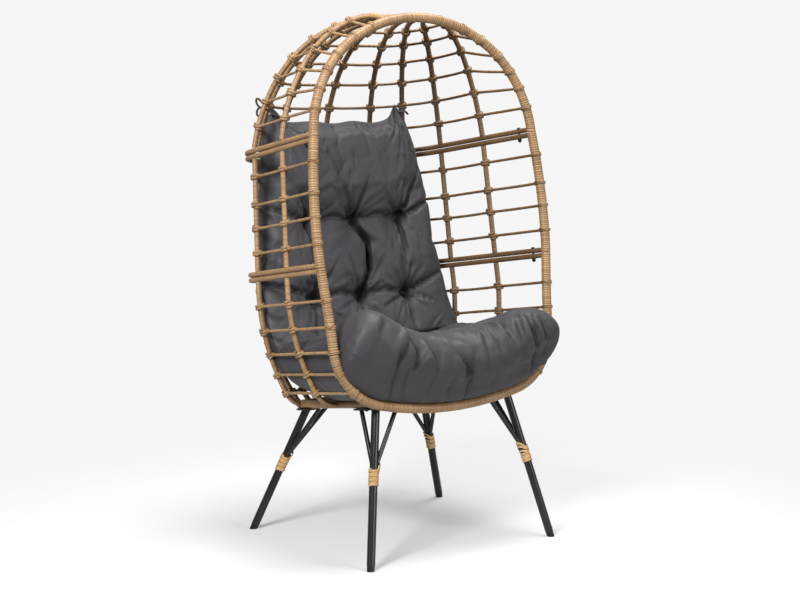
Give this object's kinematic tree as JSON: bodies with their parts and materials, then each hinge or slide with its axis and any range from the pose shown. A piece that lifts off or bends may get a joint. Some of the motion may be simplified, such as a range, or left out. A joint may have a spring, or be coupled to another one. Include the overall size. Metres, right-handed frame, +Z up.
{
  "type": "outdoor armchair",
  "caption": "Standing egg armchair: reclined wicker lattice basket with a hood, on braced black metal legs, with a tufted one-piece cushion tied in",
  "frame": {"origin": "On the floor, under the middle of the bounding box", "axes": "+Z up, +X to the sitter's left, the sitter faces -Y"},
  "size_m": [0.77, 0.685, 1.4126],
  "materials": {
    "wicker_frame": "wrapped synthetic rattan over steel tube, satin",
    "wicker_strand": "round synthetic rattan, satin",
    "natural_rattan": "natural rattan binding",
    "black_steel": "black satin powder coat",
    "black_bolts": "black oxide",
    "foot_rubber": "matte",
    "cushion_cloth": "dark grey polyester with a slight sheen",
    "tie_cloth": "dark polyester tape"
  },
  "bodies": {
    "root": {"base_cross_bars": "wicker_frame", "base_frame": "wicker_frame", "bucket_front_arch": "wicker_frame", "bucket_rib_a_left": "wicker_frame", "bucket_rib_a_right": "wicker_frame", "bucket_rib_b_left": "wicker_frame", "bucket_rib_b_right": "wicker_frame", "bucket_rib_c_left": "wicker_frame", "bucket_rib_c_right": "wicker_frame", "bucket_rib_d_left": "wicker_frame", "bucket_rib_d_right": "wicker_frame", "bucket_rib_e_middle": "wicker_frame", "bucket_strands": "wicker_strand", "bucket_upper_rail": "wicker_frame", "cushion": "cushion_cloth", "cushion_tie_left": "tie_cloth", "cushion_tie_right": "tie_cloth", "foot_cap_back_left": "foot_rubber", "foot_cap_back_right": "foot_rubber", "foot_cap_front_left": "foot_rubber", "foot_cap_front_right": "foot_rubber", "hood_front_arch": "wicker_frame", "hood_lower_rail": "wicker_frame", "hood_rib_a_left": "wicker_frame", "hood_rib_a_right": "wicker_frame", "hood_rib_b_left": "wicker_frame", "hood_rib_b_right": "wicker_frame", "hood_rib_c_left": "wicker_frame", "hood_rib_c_right": "wicker_frame", "hood_rib_d_left": "wicker_frame", "hood_rib_d_right": "wicker_frame", "hood_rib_e_middle": "wicker_frame", "hood_strands": "wicker_strand", "leg_binding_back_left": "natural_rattan", "leg_binding_back_right": "natural_rattan", "leg_binding_front_left": "natural_rattan", "leg_binding_front_right": "natural_rattan", "leg_bolts": "black_bolts", "leg_braces_back_left": "black_steel", "leg_braces_back_right": "black_steel", "leg_braces_front_left": "black_steel", "leg_braces_front_right": "black_steel", "leg_plates": "black_steel", "leg_tube_back_left": "black_steel", "leg_tube_back_right": "black_steel", "leg_tube_front_left": "black_steel", "leg_tube_front_right": "black_steel", "lower_seam_bolts": "black_bolts", "mid_front_tube_left": "wicker_frame", "mid_front_tube_right": "wicker_frame", "mid_lower_rail": "wicker_frame", "mid_posts_back": "wicker_frame", "mid_posts_left": "wicker_frame", "mid_posts_right": "wicker_frame", "mid_strands": "wicker_strand", "mid_upper_rail": "wicker_frame", "upper_seam_bolts": "black_bolts"}
  },
  "joints": []
}
